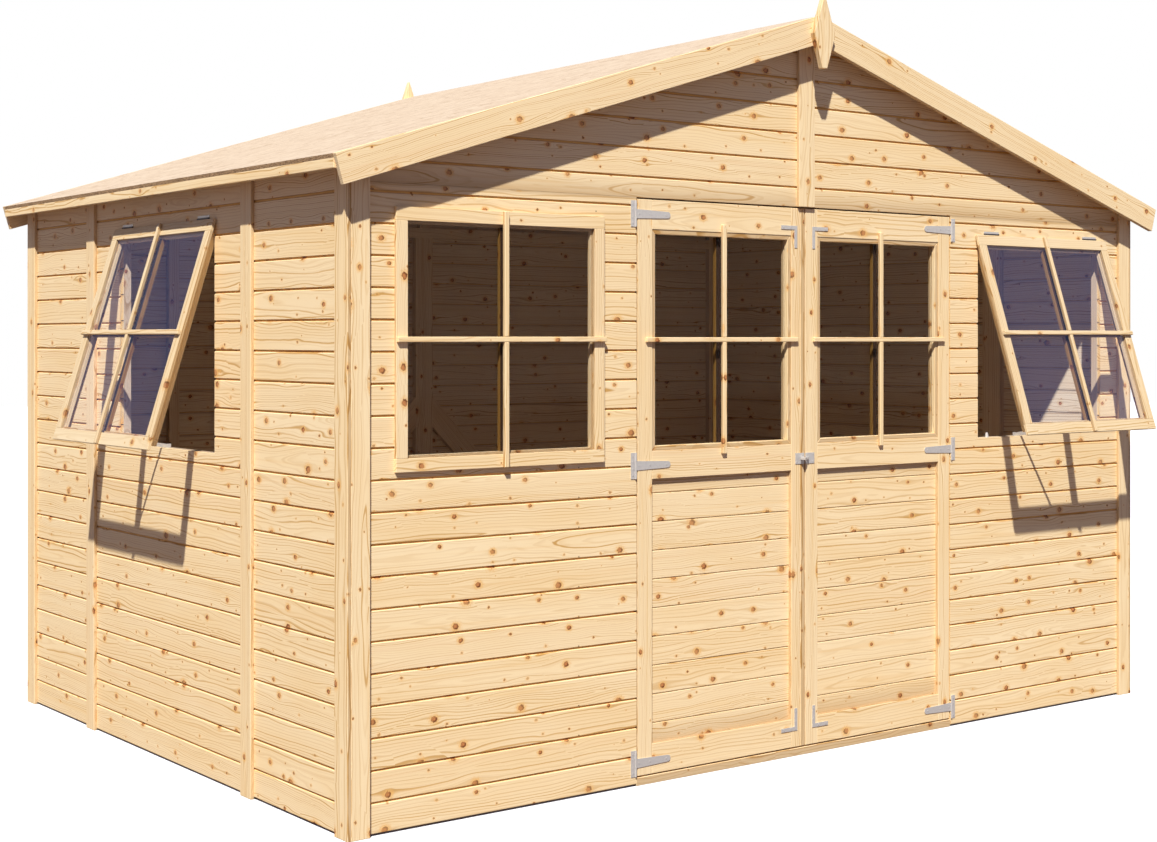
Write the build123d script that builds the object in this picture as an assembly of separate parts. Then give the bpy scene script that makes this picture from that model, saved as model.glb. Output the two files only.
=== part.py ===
from build123d import *
import math
import os

os.makedirs("parts", exist_ok=True)

# A gabled garden shed of boarded panels on a light timber frame.
# Millimetres. X runs along the front, from the left wall to the right wall.
# Y runs from the front to the back, and Z up from the ground. The origin is
# on the ground, in the middle of the floor plan.

# Outside of the boarded walls
width = 3600
depth = 2400
board_thickness = 16
board_clearance = 8  # the boards stop this far above the ground

# Wall framing
stud_width = 45
stud_depth = 28
double_stud_width = 90
back_stud_offset = 1215  # of the back wall's single studs from the middle
brace_width = 95
brace_leg = 1108

# Floor
bearer_width = 45
bearer_height = 28
bearer_count = 5
floor_thickness = 18

# Roof
roof_pitch = 16.95
eaves_overhang = 88
verge_overhang = 58
eaves_rise = 66  # of the roof's lower edge above the doorway
deck_thickness = 12
purlin_width = 45
purlin_height = 72
purlin_offset = 1000  # from the ridge
eaves_batten_thickness = 20
eaves_batten_height = 29
bargeboard_depth = 91
bargeboard_thickness = 18
finial_thickness = 20
finial_height = 250
finial_width = 100
finial_foot_width = 22
finial_shoulder = 115  # height of the widest place above the foot
finial_rise = 70  # of the tip above the ridge

# Cover strips
strip_thickness = 12
front_strip_width = 63
side_strip_width = 62
cover_strip_width = 70
side_joint_offset = 600  # of the left wall's panel joints from the middle
blind_joint_offset = 565  # of the right wall's panel joints from the middle
gable_strip_width = 75

# Doorway and doors
door_opening_width = 1490
door_opening_top = 1862
sill_height = 26
door_gap = 5
meeting_gap = 6
door_thickness = 38
door_stile_width = 60
door_bottom_rail = 95
door_middle_rail = 90
door_top_rail = 94
door_middle_rail_height = 937  # of its lower edge above the door's foot
door_panel_thickness = 14
door_panel_recess = 13
glass_thickness = 4
door_glass_recess = 19

# Windows
window_to_doorway = 153.5  # between the front openings
window_to_corner = 166.5
window_head_drop = 83  # of the windows below the doorway's head
window_opening_height = 732
sash_overlap = 16  # of the outer frame over the boards
sash_member = 40
sash_flange_thickness = 11
sash_inner_thickness = 26
sash_glass_recess = 8
sash_clearance = 3
sash_opening_angle = 17.5
window_hinge_inset = 74.5  # of its middle from the side of the opening
window_hinge_width = 83
window_hinge_height = 10
window_stay_offsets = {"front_right": -125, "left": -20}  # from the middle of the window
window_stay_width = 13
window_stay_thickness = 4
window_stay_run = 32  # from the outer face of the wall inwards

# Fittings
plate_thickness = 2
hinge_line_offset = 5  # from the side of the doorway
hinge_plate_width = 19
hinge_plate_height = 83
hinge_barrel_radius = 3
hinge_pin_radius = 1.7
pin_clearance = 0.05
knuckle_gap = 0.3
strap_length = 145
strap_root_width = 30
strap_tip_width = 21
strap_inset_top = 47
strap_inset_bottom = 41
bracket_arm = 75
bracket_width = 13
bracket_inset_side = 33
bracket_inset_top = 60
bracket_inset_bottom = 56
latch_height = 37
latch_width = 42
latch_centre_height = 977  # above the door's foot
lug_height = 7
left_lug = [(-3, 0), (-20, 0), (-28, 9), (-23, 25), (-3, 15)]  # across and outwards
right_lug = [(3, 0), (19, 0), (10, 9), (3, 12)]

eaves_height = door_opening_top + eaves_rise  # of the roof panel's upper edge
half_width = width / 2
half_depth = depth / 2
room_x = half_width - board_thickness
room_y = half_depth - board_thickness
frame_x = room_x - stud_depth
frame_y = room_y - stud_depth
slope = math.tan(math.radians(roof_pitch))
roof_half_span = half_width + eaves_overhang
verge_y = half_depth + verge_overhang
front = -half_depth
door_half_opening = door_opening_width / 2
hinge_line = door_half_opening + hinge_line_offset
door_foot = sill_height + door_gap
door_top = door_opening_top - door_gap
leaf_width = door_half_opening - door_gap - meeting_gap / 2
window_opening_width = half_width - door_half_opening - window_to_doorway - window_to_corner
window_offset = half_width - window_to_corner - window_opening_width / 2
window_hinge_offset = window_opening_width / 2 - window_hinge_inset
window_top = door_opening_top - window_head_drop
window_sill_height = window_top - window_opening_height
sash_top = window_top + sash_overlap


def deck_top(x):
    """Height of the roof's upper surface."""
    return eaves_height + slope * (roof_half_span - abs(x))


def deck_under(x):
    """Height of the roof panel's underside."""
    return deck_top(x) - deck_thickness / math.cos(math.radians(roof_pitch))


def block(x0, x1, y0, y1, z0, z1):
    """Straight timber or plate between two corners."""
    size = Box(abs(x1 - x0), abs(y1 - y0), abs(z1 - z0))
    return Pos((x0 + x1) / 2, (y0 + y1) / 2, (z0 + z1) / 2) * size


def front_prism(points, y0, y1):
    """Outline in X and Z, carried from y0 to y1."""
    outline = Wire.make_polygon([Vector(x, y0, z) for x, z in points])
    return extrude(Face(outline), amount=y1 - y0, dir=(0, 1, 0))


def side_prism(points, x0, x1):
    """Outline in Y and Z, carried from x0 to x1."""
    outline = Wire.make_polygon([Vector(x0, y, z) for y, z in points])
    return extrude(Face(outline), amount=x1 - x0, dir=(1, 0, 0))


def rod(start, direction, radius, length):
    """Round bar from a point, along a direction."""
    return Plane(origin=start, z_dir=direction) * Cylinder(
        radius, length, align=(Align.CENTER, Align.CENTER, Align.MIN)
    )


def mirrored(shape):
    """The same piece on the other side of the middle, left to right."""
    return mirror(shape, about=Plane.YZ)


def to_back(shape):
    """The same piece at the other end, front to back."""
    return mirror(shape, about=Plane.XZ)


def save(name, *shapes):
    """Write the solids of one named sub-part."""
    solids = [solid for shape in shapes for solid in shape.solids()]
    export_step(Compound(solids), f"parts/{name}.step")


def under_roof(x0, x1, z0):
    """Outline from z0 up to the underside of the roof."""
    top = [(x1, deck_under(x1)), (x0, deck_under(x0))]
    if x0 < 0 < x1:
        top.insert(1, (0, deck_under(0)))
    return [(x0, z0), (x1, z0)] + top


# Floor

def floor():
    save("floor_deck", block(-frame_x, frame_x, -frame_y, frame_y,
                             bearer_height, bearer_height + floor_thickness))
    first = -frame_y + bearer_width
    step = -2 * first / (bearer_count - 1)
    bearers = []
    for i in range(bearer_count):
        y = first + i * step
        bearers.append(block(-frame_x, frame_x, y - bearer_width / 2, y + bearer_width / 2,
                             0, bearer_height))
    save("floor_bearers", *bearers)


# Roof

def purlins():
    """Ridge beam and one purlin to each slope, as long as the roof."""
    half = purlin_width / 2
    ridge = under_roof(-half, half, deck_under(0) - purlin_height)
    low = deck_under(purlin_offset + half) - purlin_height + slope * purlin_width
    side = under_roof(purlin_offset - half, purlin_offset + half, low)
    right = front_prism(side, -verge_y, verge_y)
    return [front_prism(ridge, -verge_y, verge_y), mirrored(right), right]


def roof():
    lean = deck_thickness * math.sin(math.radians(roof_pitch))
    edge = roof_half_span - lean
    panel = front_prism(
        [(0, deck_under(0)), (edge, deck_under(edge)),
         (roof_half_span, eaves_height), (0, deck_top(0))],
        -verge_y, verge_y)
    save("roof_panel_right", panel)
    save("roof_panel_left", mirrored(panel))
    save("purlins", *purlins())

    foot = deck_under(edge) - eaves_batten_height
    batten = front_prism(under_roof(edge - eaves_batten_thickness, edge, foot), -verge_y, verge_y)
    save("eaves_battens", batten, mirrored(batten))

    tilt = math.radians(roof_pitch)
    cut = roof_half_span - bargeboard_depth * math.sin(tilt)
    low_edge = eaves_height - bargeboard_depth * math.cos(tilt)
    board = front_prism(
        [(0, deck_top(0)), (0, deck_top(0) - bargeboard_depth / math.cos(tilt)),
         (cut, low_edge), (roof_half_span, eaves_height)],
        -verge_y - bargeboard_thickness, -verge_y)
    save("front_bargeboard_right", board)
    save("front_bargeboard_left", mirrored(board))
    save("back_bargeboard_right", to_back(board))
    save("back_bargeboard_left", to_back(mirrored(board)))

    tip = deck_top(0) + finial_rise
    base = tip - finial_height
    shoulder = base + finial_shoulder
    face = -verge_y - bargeboard_thickness
    finial = front_prism(
        [(-finial_foot_width / 2, base), (finial_foot_width / 2, base),
         (finial_width / 2, shoulder), (0, tip), (-finial_width / 2, shoulder)],
        face - finial_thickness, face)
    save("finials", finial, to_back(finial))


# Walls

def front_window(x):
    """Space that a front window's opening takes out of the boards."""
    half = window_opening_width / 2
    return block(x - half, x + half, front, front + board_thickness, window_sill_height, window_top)


def walls():
    side = front_prism(under_roof(door_half_opening, half_width, board_clearance), front, -room_y)
    side -= block(0, half_width, front, -room_y, door_opening_top, deck_top(0))
    side -= front_window(window_offset)
    save("front_wall_right", side)
    save("front_wall_left", mirrored(side))

    gable = front_prism(under_roof(-half_width, half_width, door_opening_top), front, -room_y)
    back = front_prism(under_roof(-half_width, half_width, board_clearance), room_y, half_depth)
    for purlin in purlins():
        gable -= purlin
        back -= purlin
    save("front_gable", gable)
    save("back_wall", back)

    right = front_prism(under_roof(room_x, half_width, board_clearance), -room_y, room_y)
    save("right_wall", right)
    half = window_opening_width / 2
    left = mirrored(right)
    left -= block(-half_width, -room_x, -half, half, window_sill_height, window_top)
    save("left_wall", left)


# Framing

def rails_between(posts, z0, z1):
    """Spans and heights of the rails that fill the gaps between posts."""
    ordered = sorted(posts)
    return [(a[1], b[0], z0, z1) for a, b in zip(ordered, ordered[1:])]


def beside_window(centre):
    """Where the two studs beside a window start and end along the wall."""
    half = window_opening_width / 2
    return [(centre - half - stud_width, centre - half), (centre + half, centre + half + stud_width)]


def double_stud(centre):
    """Where a pair of studs at a panel joint starts and ends."""
    return (centre - double_stud_width / 2, centre + double_stud_width / 2)


def front_timber(x0, x1, z0, z1):
    """Framing behind the front boards."""
    return block(x0, x1, -room_y, -frame_y, z0, z1)


def left_timber(y0, y1, z0, z1):
    """Framing behind the left wall's boards."""
    return block(-room_x, -frame_x, y0, y1, z0, z1)


corner = (frame_x - stud_width, room_x)
door_post = (door_half_opening, door_half_opening + stud_width)
back_stud = (back_stud_offset - stud_width / 2, back_stud_offset + stud_width / 2)
front_studs = beside_window(window_offset)
left_studs = beside_window(0) + [double_stud(-side_joint_offset), double_stud(side_joint_offset)]
right_studs = [double_stud(-blind_joint_offset), double_stud(blind_joint_offset)]
head_rail_top = door_opening_top + stud_width
wall_plate_foot = deck_under(room_x) - stud_width


def posts():
    tall = front_prism(under_roof(*corner, 0), -room_y, -frame_y)
    right = [front_timber(*place, 0, door_opening_top) for place in [door_post] + front_studs]
    front_posts = right + [tall]
    save("front_posts", *front_posts, *[mirrored(p) for p in front_posts])
    middle = to_back(front_timber(*double_stud(0), 0, door_opening_top))
    back = [to_back(tall), to_back(front_timber(*back_stud, 0, door_opening_top))]
    save("back_posts", middle, *back, *[mirrored(p) for p in back])
    left = [left_timber(*place, 0, wall_plate_foot) for place in left_studs]
    right = [mirrored(left_timber(*place, 0, wall_plate_foot)) for place in right_studs]
    save("side_posts", *left, *right)


def rails():
    rail_height = stud_width
    front_right = rails_between([door_post, corner] + front_studs, 0, rail_height)
    lower = [front_timber(*rail) for rail in front_right]
    lower += [mirrored(rail) for rail in lower]
    back_right = rails_between([double_stud(0), back_stud, corner], 0, rail_height)
    back = [to_back(front_timber(*rail)) for rail in back_right]
    lower += back + [mirrored(rail) for rail in back]
    ends = [(-room_y, -frame_y), (frame_y, room_y)]
    lower += [left_timber(*rail) for rail in rails_between(ends + left_studs, 0, rail_height)]
    right = rails_between(ends + right_studs, 0, rail_height)
    lower += [mirrored(left_timber(*rail)) for rail in right]
    save("bottom_rails", *lower)

    head = front_timber(-corner[0], corner[0], door_opening_top, head_rail_top)
    plate = front_prism(under_roof(frame_x, room_x, wall_plate_foot), -frame_y, frame_y)
    save("top_rails", head, to_back(head), plate, mirrored(plate))

    around = []
    for z0 in (window_sill_height - rail_height, window_top):
        (_, start), (end, _) = front_studs
        rail = front_timber(start, end, z0, z0 + rail_height)
        (_, near), (far, _) = beside_window(0)
        around += [rail, mirrored(rail), left_timber(near, far, z0, z0 + rail_height)]
    save("window_rails", *around)


def gable_framing():
    half = purlin_width / 2
    fall = stud_width / math.cos(math.radians(roof_pitch))
    pieces = []
    for x0, x1 in ((half, purlin_offset - half), (purlin_offset + half, corner[0])):
        outline = [(x0, deck_under(x0) - fall), (x1, deck_under(x1) - fall),
                   (x1, deck_under(x1)), (x0, deck_under(x0))]
        pieces.append(front_prism(outline, -room_y, -frame_y))
    pieces += [mirrored(p) for p in pieces]
    save("gable_rafters", *pieces, *[to_back(p) for p in pieces])
    stud = front_timber(-stud_width / 2, stud_width / 2, head_rail_top, deck_under(0) - purlin_height)
    save("gable_studs", stud, to_back(stud))


def corner_brace(start, way, foot, leg):
    """Outline of a brace at 45 degrees between an upright and the rail under it."""
    cut = brace_width * math.sqrt(2)
    return [(start, foot + leg), (start, foot + leg - cut),
            (start + way * (leg - cut), foot), (start + way * leg, foot)]


def braces():
    foot = stud_width
    outline = corner_brace(double_stud_width / 2, 1, foot, brace_leg)
    back = front_prism(outline, frame_y, room_y)
    save("wall_braces", back, mirrored(back))


# Trim

def strips():
    face = front - strip_thickness
    wrap = half_width + strip_thickness
    in_front = front_prism(under_roof(half_width - front_strip_width, half_width, 0), face, front)
    pieces = [in_front, mirrored(in_front)]
    save("gable_corner_strips", *pieces, *[to_back(p) for p in pieces])

    upright = under_roof(half_width, wrap, 0)
    at_side = front_prism(upright, face, face + strip_thickness + side_strip_width)
    pieces = [at_side, mirrored(at_side)]
    save("side_corner_strips", *pieces, *[to_back(p) for p in pieces])

    half = cover_strip_width / 2
    right = front_prism(upright, blind_joint_offset - half, blind_joint_offset + half)
    left = mirrored(front_prism(upright, side_joint_offset - half, side_joint_offset + half))
    back = block(-half, half, half_depth, half_depth + strip_thickness, 0, deck_under(0) - purlin_height)
    gable_half = gable_strip_width / 2
    gable = block(-gable_half, gable_half, face, front, door_opening_top, deck_under(0) - purlin_height)
    save("cover_strips", left, to_back(left), right, to_back(right), back, gable)
    save("door_sill", block(-door_half_opening, door_half_opening, front, -frame_y, 0, sill_height))


# Windows

def ring(outer_width, outer_height, centre_height, hole_width, hole_height, y0, y1):
    """Rectangular frame that stands behind the face plane y = 0."""
    half, hole = outer_width / 2, hole_width / 2
    low, high = centre_height - outer_height / 2, centre_height + outer_height / 2
    frame = block(-half, half, y0, y1, low, high)
    middle = centre_height
    return frame - block(-hole, hole, y0, y1, middle - hole_height / 2, middle + hole_height / 2)


def sash():
    """Shut sash and its pane, with the wall's face at y = 0 and its top edge at z = 0."""
    flange_width = window_opening_width + 2 * sash_overlap
    flange_height = window_opening_height + 2 * sash_overlap
    hole_width = flange_width - 2 * sash_member
    hole_height = flange_height - 2 * sash_member
    middle = -flange_height / 2
    frame = ring(flange_width, flange_height, middle, hole_width, hole_height, -sash_flange_thickness, 0)
    frame += ring(window_opening_width - 2 * sash_clearance, window_opening_height - 2 * sash_clearance,
                  middle, hole_width, hole_height, 0, sash_inner_thickness)
    glass_face = sash_glass_recess - sash_flange_thickness
    pane = block(-hole_width / 2, hole_width / 2, glass_face, glass_face + glass_thickness,
                 middle - hole_height / 2, middle + hole_height / 2)
    return frame, pane


def window_hinges():
    """Two hinges on the wall above an open sash, clear of its edge."""
    lift = sash_flange_thickness * math.sin(math.radians(sash_opening_angle)) + hinge_barrel_radius
    half = window_hinge_width / 2
    hinges = []
    for x in (-window_hinge_offset, window_hinge_offset):
        start = (x - half, -hinge_barrel_radius, lift)
        barrel = rod(start, (1, 0, 0), hinge_barrel_radius, window_hinge_width)
        flap = block(x - half, x + half, -plate_thickness, 0, lift, lift + window_hinge_height)
        hinges.append(barrel + flap)
    return hinges


def window_stay(middle):
    """Bar on edge, from the sill to the lower rail of an open sash, in the shut sash's place."""
    angle = math.radians(sash_opening_angle)
    sill = -(window_opening_height + sash_overlap)
    rail = sill + sash_clearance + window_stay_thickness
    reach = sash_inner_thickness * math.cos(angle) + rail * math.sin(angle)
    height = rail * math.cos(angle) - sash_inner_thickness * math.sin(angle)
    lean = window_stay_width * math.tan(angle)
    outline = [(window_stay_run, sill), (window_stay_run, sill + window_stay_width),
               (board_thickness, sill + window_stay_width), (reach + lean, height + window_stay_width),
               (reach, height), (board_thickness, sill)]
    return side_prism(outline, middle - window_stay_thickness / 2, middle + window_stay_thickness / 2)


def windows():
    places = {"front_left": Pos(-window_offset, front, sash_top),
              "front_right": Pos(window_offset, front, sash_top),
              "left": Pos(-half_width, 0, sash_top) * Rot(0, 0, -90)}
    frame, pane = sash()
    panes, hinges, stays = [], [], []
    for name, place in places.items():
        if name in window_stay_offsets:
            hinges += [place * hinge for hinge in window_hinges()]
            stays.append(place * window_stay(window_stay_offsets[name]))
            place = place * Rot(-sash_opening_angle, 0, 0)
        save(f"{name}_sash", place * frame)
        panes.append(place * pane)
    save("window_panes", *panes)
    save("window_hinges", *hinges)
    save("window_stays", *stays)


# Doors

def strap_heights():
    """Middles of the hinges on a door."""
    middle = door_foot + door_middle_rail_height + door_middle_rail / 2
    return [door_foot + strap_inset_bottom, middle, door_top - strap_inset_top]


def hinge_barrel(z0, z1, radius):
    """Upright barrel or pin on the right-hand door's hinge line."""
    return rod((hinge_line, front - hinge_barrel_radius, z0), (0, 0, 1), radius, z1 - z0)


def hinge_plate(z):
    """Plate on the wall, with its barrel and pin, for a hinge at height z."""
    low, high = z - hinge_plate_height / 2, z + hinge_plate_height / 2
    knuckle = strap_root_width / 2 + knuckle_gap
    plate = block(hinge_line, hinge_line + hinge_plate_width, front - plate_thickness, front, low, high)
    plate += hinge_barrel(low, high, hinge_barrel_radius)
    reach = hinge_barrel_radius + knuckle_gap
    plate -= block(hinge_line - reach, hinge_line + reach,
                   front - 2 * hinge_barrel_radius, front, z - knuckle, z + knuckle)
    return plate + hinge_barrel(low, high, hinge_pin_radius)


def hinge_strap(z):
    """Tapered strap on the door, with the knuckle that turns on the pin."""
    root, tip = strap_root_width / 2, strap_tip_width / 2
    start = hinge_line
    end = start - strap_length + tip
    strap = front_prism([(start, z - root), (start, z + root), (end, z + tip), (end, z - tip)],
                        front - plate_thickness, front)
    strap += rod((end, front, z), (0, -1, 0), tip, plate_thickness)
    strap += hinge_barrel(z - root, z + root, hinge_barrel_radius)
    return strap - hinge_barrel(z - root, z + root, hinge_pin_radius + pin_clearance)


def bracket(x, z, up):
    """Flat angle bracket with its outer corner at x and z, on the right-hand door."""
    face = front - plate_thickness
    flat = block(x, x + bracket_arm, face, front, z, z + up * bracket_width)
    return flat + block(x, x + bracket_width, face, front, z, z + up * bracket_arm)


def latch_plate(lug):
    """Plate beside the meeting edge of the right-hand door, with a lug of the outline given."""
    edge = meeting_gap / 2
    z = door_foot + latch_centre_height
    face = front - plate_thickness
    plate = block(edge, edge + latch_width, face, front, z - latch_height / 2, z + latch_height / 2)
    outline = Wire.make_polygon([Vector(x, face - out, z - lug_height / 2) for x, out in lug])
    return plate + extrude(Face(outline), amount=lug_height, dir=(0, 0, 1))


def door_leaf():
    """The right-hand door's frame, lower panel and pane."""
    inner = meeting_gap / 2
    outer = inner + leaf_width
    back = front + door_thickness
    x0, x1 = inner + door_stile_width, outer - door_stile_width
    panel_foot = door_foot + door_bottom_rail
    panel_top = door_foot + door_middle_rail_height
    glass_foot = panel_top + door_middle_rail
    glass_top = door_top - door_top_rail
    frame = block(inner, outer, front, back, door_foot, door_top)
    frame -= block(x0, x1, front, back, panel_foot, panel_top)
    frame -= block(x0, x1, front, back, glass_foot, glass_top)
    panel_face = front + door_panel_recess
    panel = block(x0, x1, panel_face, panel_face + door_panel_thickness, panel_foot, panel_top)
    glass_face = front + door_glass_recess
    pane = block(x0, x1, glass_face, glass_face + glass_thickness, glass_foot, glass_top)
    return frame, panel, pane


def doors():
    frame, panel, pane = door_leaf()
    straps = [hinge_strap(z) for z in strap_heights()]
    plates = [hinge_plate(z) for z in strap_heights()]
    x = meeting_gap / 2 + bracket_inset_side
    brackets = [bracket(x, door_top - bracket_inset_top, -1),
                bracket(x, door_foot + bracket_inset_bottom, 1)]
    pieces = {"frame": [frame], "panel": [panel], "pane": [pane], "straps": straps}
    for name, shapes in pieces.items():
        save(f"right_door_{name}", *shapes)
        save(f"left_door_{name}", *[mirrored(shape) for shape in shapes])
    left_latch = latch_plate([(-x, out) for x, out in left_lug])
    save("right_door_fittings", *brackets, latch_plate(right_lug))
    save("left_door_fittings", *[mirrored(b) for b in brackets], mirrored(left_latch))
    save("door_hinge_plates", *plates, *[mirrored(p) for p in plates])


floor()
roof()
walls()
posts()
rails()
gable_framing()
braces()
strips()
windows()
doors()
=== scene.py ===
import math
import random

import bpy
from mathutils import Matrix, Vector


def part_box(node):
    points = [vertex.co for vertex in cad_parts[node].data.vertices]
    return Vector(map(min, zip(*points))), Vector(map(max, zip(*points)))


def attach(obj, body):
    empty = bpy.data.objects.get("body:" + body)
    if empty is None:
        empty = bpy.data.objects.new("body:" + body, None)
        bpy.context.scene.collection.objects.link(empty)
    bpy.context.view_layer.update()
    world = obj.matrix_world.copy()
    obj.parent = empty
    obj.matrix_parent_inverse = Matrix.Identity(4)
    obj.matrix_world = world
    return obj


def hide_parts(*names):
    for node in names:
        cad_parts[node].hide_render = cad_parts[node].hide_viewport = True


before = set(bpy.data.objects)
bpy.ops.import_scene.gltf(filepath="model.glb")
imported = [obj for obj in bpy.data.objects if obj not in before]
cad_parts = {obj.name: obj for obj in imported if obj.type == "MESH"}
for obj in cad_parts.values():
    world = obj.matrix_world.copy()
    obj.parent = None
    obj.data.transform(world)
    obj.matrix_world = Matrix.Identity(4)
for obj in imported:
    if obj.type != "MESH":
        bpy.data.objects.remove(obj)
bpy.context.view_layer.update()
dice = random.Random(7)
timberCount = 0
scene = bpy.context.scene
print("frame loaded:", len(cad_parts), "nodes")

# camera, level, standing off the front left corner

view = {"place": (-4.412, -5.564, 1.419), "heading": -35.91, "lens": 55.97, "shift": (0.0621, -0.0723)}

bpy.ops.object.camera_add(location=view["place"], rotation=(math.pi / 2, 0, math.radians(view["heading"])))
camera = bpy.context.object
camera.name = "camera"
camera.data.lens = view["lens"]
camera.data.shift_x, camera.data.shift_y = view["shift"]
scene.camera = camera
print("camera set")


# shading

class Wire:  # a shader socket that can be used in sums
    def __init__(self, tree, socket=None):
        self.tree = tree
        self.socket = socket

    def node(self, kind, settings=None, sockets=None, out=0):
        made = self.tree.nodes.new(kind)
        for key, value in (settings or {}).items():
            if key == "stops":
                made.color_ramp.elements.remove(made.color_ramp.elements[1])
                for count, (place, tone) in enumerate(value):
                    stop = made.color_ramp.elements.new(place) if count else made.color_ramp.elements[0]
                    stop.position = place
                    stop.color = tone
            else:
                setattr(made, key, value)
        for key, value in (sockets or {}).items():
            if isinstance(value, Wire):
                self.tree.links.new(value.socket, made.inputs[key])
            else:
                made.inputs[key].default_value = value
        return Wire(self.tree, made.outputs[out])

    def sum(self, operation, *values):
        return self.node("ShaderNodeMath", {"operation": operation}, dict(enumerate(values)))

    def __add__(self, other):
        return self.sum("ADD", self, other)

    def __sub__(self, other):
        return self.sum("SUBTRACT", self, other)

    def __mul__(self, other):
        return self.sum("MULTIPLY", self, other)

    def __truediv__(self, other):
        return self.sum("DIVIDE", self, other)

    def __rsub__(self, other):
        return self.sum("SUBTRACT", other, self)

    __radd__ = __add__
    __rmul__ = __mul__


def paint(red, green, blue):  # a colour written as 0 to 255
    channels = [c / 255 for c in (red, green, blue)]
    return tuple(c / 12.92 if c < 0.04045 else ((c + 0.055) / 1.055) ** 2.4 for c in channels) + (1.0,)


def rise(value, low, high):  # 0 below low, 1 above high, smooth between
    return value.node("ShaderNodeMapRange", {"interpolation_type": "SMOOTHSTEP"},
                      {"Value": value, "From Min": low, "From Max": high})


def mix(wire, factor, first, second, way="MIX"):
    return wire.node("ShaderNodeMix", {"data_type": "RGBA", "blend_type": way},
                     {0: factor, 6: first, 7: second}, 2)


def vector(wire, x, y, z=0.0):
    return wire.node("ShaderNodeCombineXYZ", None, {0: x, 1: y, 2: z})


def split(source):
    parts = source.node("ShaderNodeSeparateXYZ", None, {0: source}).socket.node.outputs
    return [Wire(source.tree, part) for part in parts]


def noise(place, scale, detail=2.0, rough=0.5):
    return place.node("ShaderNodeTexNoise", {"noise_dimensions": "3D"},
                      {"Vector": place, "Scale": scale, "Detail": detail, "Roughness": rough})


def wander(place, scale, seed):  # slow change along one number
    return place.node("ShaderNodeTexNoise", {"noise_dimensions": "1D"},
                      {"W": place + seed, "Scale": scale, "Detail": 2.0}) - 0.5


def objectPlace(wire):
    return wire.node("ShaderNodeTexCoord", None, None, "Object")


def slant(wire):  # how far a face looks up
    return split(wire.node("ShaderNodeNewGeometry", None, None, "True Normal"))[2]


def marked(wire, name):  # a value that the mesh carries at its points
    return wire.node("ShaderNodeAttribute", {"attribute_name": name}, None, "Fac")


def finish(name, **fixed):  # a new material, its empty wire and its main shader
    material = bpy.data.materials.new(name)
    material.use_nodes = True
    tree = material.node_tree
    shader = tree.nodes["Principled BSDF"]
    for key, value in fixed.items():
        shader.inputs[key.replace("_", " ")].default_value = value
    return material, Wire(tree), shader


def feed(shader, **wires):
    for key, wire in wires.items():
        wire.tree.links.new(wire.socket, shader.inputs[key.replace("_", " ")])


def bump(height, distance, strength=1.0):
    return height.node("ShaderNodeBump", None,
                       {"Height": height, "Distance": distance, "Strength": strength})


# spruce: rings round a pith that wanders, and knots that the grain flows round

# side and upSideShade are painted shade: multipliers that darken the narrow faces, and those that look up
# more; grooveShade is painted shade in the board grooves
spruceLook = {
    "pale": (254, 228, 180), "warm": (251, 220, 166), "rosy": (250, 220, 180), "gold": (240, 198, 128),
    "late": (210, 162, 92), "halo": (248, 192, 112), "knot": (204, 134, 78), "rim": (118, 64, 30),
    "speck": (150, 94, 48), "side": (220, 213, 207), "upSideShade": (196, 188, 182), "grooveShade": (255, 232, 176),
    "ringSpacing": 0.0072, "knotSpacing": (0.25, 0.098), "knotRadius": (0.0052, 0.0108), "knotShare": 0.88,
    "speckSpacing": (0.15, 0.06), "speckRadius": (0.0014, 0.0042), "speckShare": 0.66,
    "relief": 0.0005,
}
sawnSpruce = {"pale": (248, 231, 204), "warm": (244, 222, 190), "rosy": (244, 222, 194),
              "gold": (228, 198, 150), "late": (196, 160, 112), "halo": (236, 196, 140)}
# painted shade: the inner bars behind the glass are darkened to a dim brown, and the open sashes are darkened
# and cooled a little
paintedShades = {"sash": (228, 230, 236), "innerBars": (172, 150, 98)}
timberStride = 20  # each timber's grain starts this far after the last one's


def knots(wire, u, v, spacing, sizes, share, seed, wild):  # u along the timber, v across its face
    along, across = spacing
    cell = vector(wire, u / along + seed, v / across + seed)
    dot = wire.node("ShaderNodeTexVoronoi", {"voronoi_dimensions": "2D"},
                    {"Vector": cell, "Scale": 1.0}).socket.node
    luck = split(Wire(wire.tree, dot.outputs["Color"]))
    px, py, _ = split(Wire(wire.tree, dot.outputs["Position"]))
    du = (u / along + seed - px) * along
    dv = (v / across + seed - py) * across
    there = wire.sum("GREATER_THAN", luck[0], 1 - share)
    radius = luck[1] * (sizes[1] - sizes[0]) + sizes[0]
    ragged = noise(vector(wire, u * 150, v * 150), 1.0) * wild + (1 - wild / 2)
    size = wire.sum("SQRT", du * du * 0.65 + dv * dv) / radius * ragged  # 1 at the knot's edge
    body = (1 - rise(size, 0.84, 1.1)) * there
    halo = (1 - rise(size, 0.8, 3.0)) * there
    side = (du * 0.7 + dv * (luck[2] * 2 - 1)) / radius  # which way its dark crescent lies
    eye = (du * du * 0.13 + dv * dv) / (radius * radius)
    push = wire.sum("EXPONENT", eye * -0.1) * there * dv * 0.88  # how far the grain gives way
    return body, halo, push, size, luck[2], side


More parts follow.
